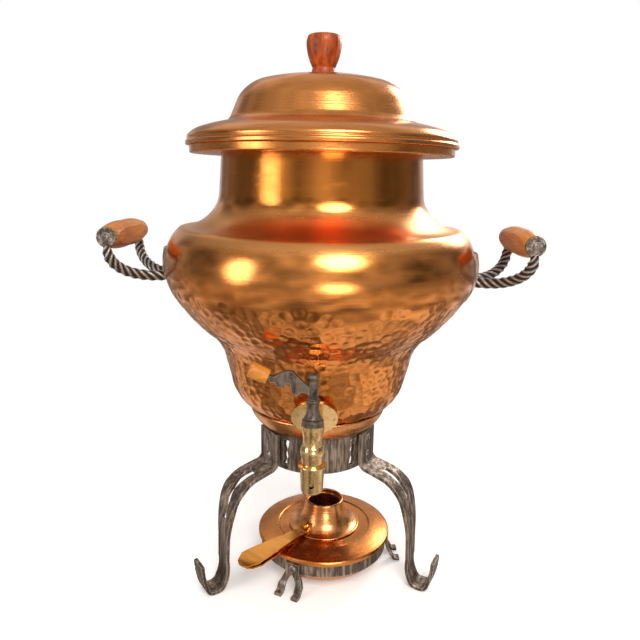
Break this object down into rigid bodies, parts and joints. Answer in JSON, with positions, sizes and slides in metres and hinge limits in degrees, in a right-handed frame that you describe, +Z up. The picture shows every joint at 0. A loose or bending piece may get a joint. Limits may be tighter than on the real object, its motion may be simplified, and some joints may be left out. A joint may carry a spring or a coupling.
{
  "type": "samovar",
  "caption": "Copper samovar with lift-off lid, side handles and brass tap, on a wrought iron tripod over a small spirit burner with a regulator.",
  "frame": {"origin": "on the table, under the vessel's axis, midway between the two handles", "axes": "+Z up along the vessel's axis, -Y towards the tap, +X towards the right handle seen from the tap side"},
  "size_m": [0.3432, 0.2478, 0.4387],
  "materials": {
    "smooth_copper": "polished spun copper, lacquered",
    "hammered_copper": "spun copper, hammered below the belly",
    "burner_copper": "polished copper with heat colours",
    "wrought_iron": "forged, brushed and waxed",
    "iron_fixings": "forged rivets and turned pins",
    "aged_brass": "cast brass with patina",
    "grip_wood": "turned, stained and lacquered",
    "knob_wood": "turned reddish hardwood, polished",
    "fibre_gasket": "pressed fibre",
    "burner_wool": "mineral wool",
    "wire_gauze": "woven wire, sooted"
  },
  "bodies": {
    "stand": {"stand_ring": "wrought_iron", "stand_leg_front_left": "wrought_iron", "stand_leg_front_right": "wrought_iron", "stand_leg_rear": "wrought_iron", "stand_rivets": "iron_fixings"},
    "vessel": {"vessel_shell": "hammered_copper", "vessel_collar": "smooth_copper", "vessel_brim": "smooth_copper", "handle_plate_left": "wrought_iron", "handle_plate_right": "wrought_iron", "handle_arm_left_front": "wrought_iron", "handle_arm_left_rear": "wrought_iron", "handle_arm_right_front": "wrought_iron", "handle_arm_right_rear": "wrought_iron", "handle_grip_left": "grip_wood", "handle_grip_right": "grip_wood", "handle_rod_left": "iron_fixings", "handle_rod_right": "iron_fixings", "handle_rivets_left": "iron_fixings", "handle_rivets_right": "iron_fixings", "tap_body": "aged_brass", "tap_flange": "aged_brass", "tap_gasket": "fibre_gasket", "tap_backnut": "aged_brass", "tap_gland_nut": "wrought_iron"},
    "lid": {"lid_shell": "smooth_copper", "lid_collar": "smooth_copper", "lid_knob": "knob_wood", "lid_knob_washer": "iron_fixings", "lid_knob_screw": "iron_fixings"},
    "tap_key": {"tap_plug": "aged_brass", "tap_column": "wrought_iron", "tap_cap": "wrought_iron", "tap_lever": "wrought_iron", "tap_lever_grip": "grip_wood"},
    "burner_stand": {"burner_ring": "wrought_iron", "burner_foot_front": "wrought_iron", "burner_foot_right": "wrought_iron", "burner_foot_rear": "wrought_iron", "burner_rivets": "iron_fixings"},
    "burner": {"burner_bowl": "burner_copper", "burner_cover": "burner_copper", "burner_wool": "burner_wool", "burner_gauze": "wire_gauze", "burner_cover_handle": "burner_copper", "burner_cover_rivet": "burner_copper"},
    "regulator": {"regulator_cone": "burner_copper", "regulator_handle": "burner_copper", "regulator_rivet": "burner_copper"}
  },
  "joints": [
    {"name": "vessel_lift", "type": "slide", "parent": "stand", "child": "vessel", "axis": [0, 0, 1], "range_m": [0, 0.12]},
    {"name": "lid_lift", "type": "slide", "parent": "vessel", "child": "lid", "axis": [0, 0, 1], "range_m": [0, 0.15]},
    {"name": "tap_turn", "type": "hinge", "parent": "vessel", "child": "tap_key", "pos_m": [0, -0.1, 0.144], "axis": [0, 0, 1], "range_deg": [0, 90]},
    {"name": "burner_slide", "type": "slide", "parent": "stand", "child": "burner_stand", "axis": [-0.1392, -0.9903, 0], "range_m": [0, 0.16]},
    {"name": "burner_lift", "type": "slide", "parent": "burner_stand", "child": "burner", "axis": [0, 0, 1], "range_m": [0, 0.03]},
    {"name": "regulator_turn", "type": "hinge", "parent": "burner", "child": "regulator", "pos_m": [0.0076, -0.005, 0.04], "axis": [0, 0, 1], "range_deg": [0, 40]}
  ]
}
